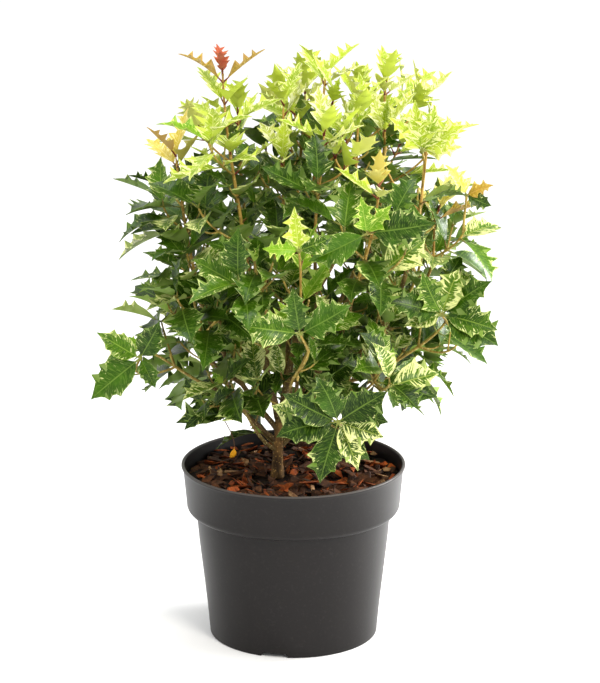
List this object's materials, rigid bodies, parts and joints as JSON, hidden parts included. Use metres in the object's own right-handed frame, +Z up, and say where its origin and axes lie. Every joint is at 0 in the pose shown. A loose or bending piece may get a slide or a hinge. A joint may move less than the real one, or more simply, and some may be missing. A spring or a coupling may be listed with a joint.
{
  "type": "potted holly osmanthus shrub",
  "caption": "Young holly-leaved evergreen shrub with spiny marbled leaves and lime to bronze new growth, in a round black nursery pot.",
  "frame": {"origin": "middle of the pot's flat underside", "axes": "+Z up; +Y away from the side of the plant shown in front; +X to the right of that side"},
  "size_m": [0.354, 0.3246, 0.514],
  "materials": {
    "pot": "matte",
    "mulch": "rough",
    "bark": "rough",
    "young_bark": "satin",
    "leaf_dark": "satin",
    "leaf_fresh": "satin",
    "leaf_lime": "satin",
    "leaf_amber": "satin",
    "leaf_bronze": "satin"
  },
  "bodies": {
    "root": {"pot": "pot", "mulch": "mulch", "trunk": "bark", "bough_tall_left": "young_bark", "bough_top_centre": "young_bark", "bough_front_top": "young_bark", "bough_right_top": "young_bark", "bough_upper_left": "young_bark", "bough_back_left_top": "young_bark", "bough_low_left": "young_bark", "bough_front": "young_bark", "bough_centre_left": "young_bark", "bough_top_right": "young_bark", "bough_back_top": "young_bark", "bough_back_right_top": "young_bark", "bough_mid_top": "young_bark", "bough_centre_top": "young_bark", "bough_centre_front": "young_bark", "bough_centre_light": "young_bark", "bough_right_low": "young_bark", "bough_right_front": "young_bark", "bough_right": "young_bark", "bough_right_back": "young_bark", "bough_left": "young_bark", "bough_left_back": "young_bark", "bough_back": "young_bark", "bough_back_right": "young_bark", "leaves_tall_left": "leaf_bronze", "leaves_upper_left": "leaf_amber", "leaves_left": "leaf_dark", "leaves_top_centre": "leaf_lime", "leaves_front_top": "leaf_lime", "leaves_right_top": "leaf_lime", "leaves_top_right": "leaf_lime", "leaves_back_left_top": "leaf_lime", "leaves_back_right_top": "leaf_lime", "leaves_back_top": "leaf_lime", "leaves_centre_left": "leaf_lime", "leaves_mid_top": "leaf_lime", "leaves_centre_top": "leaf_lime", "leaves_low_left": "leaf_dark", "leaves_centre_front": "leaf_dark", "leaves_centre_light": "leaf_fresh", "leaves_front": "leaf_dark", "leaves_right_low": "leaf_dark", "leaves_right_front": "leaf_dark", "leaves_right": "leaf_amber", "leaves_right_back": "leaf_dark", "leaves_left_back": "leaf_dark", "leaves_back_right": "leaf_dark", "leaves_back": "leaf_dark", "leaves_front_low": "leaf_dark", "leaves_low_left_front": "leaf_dark", "leaves_low_back_left": "leaf_dark", "leaves_low_back": "leaf_dark", "leaves_low_back_right": "leaf_dark", "leaves_low_right": "leaf_dark", "leaves_low_tuft": "leaf_dark"}
  },
  "joints": []
}
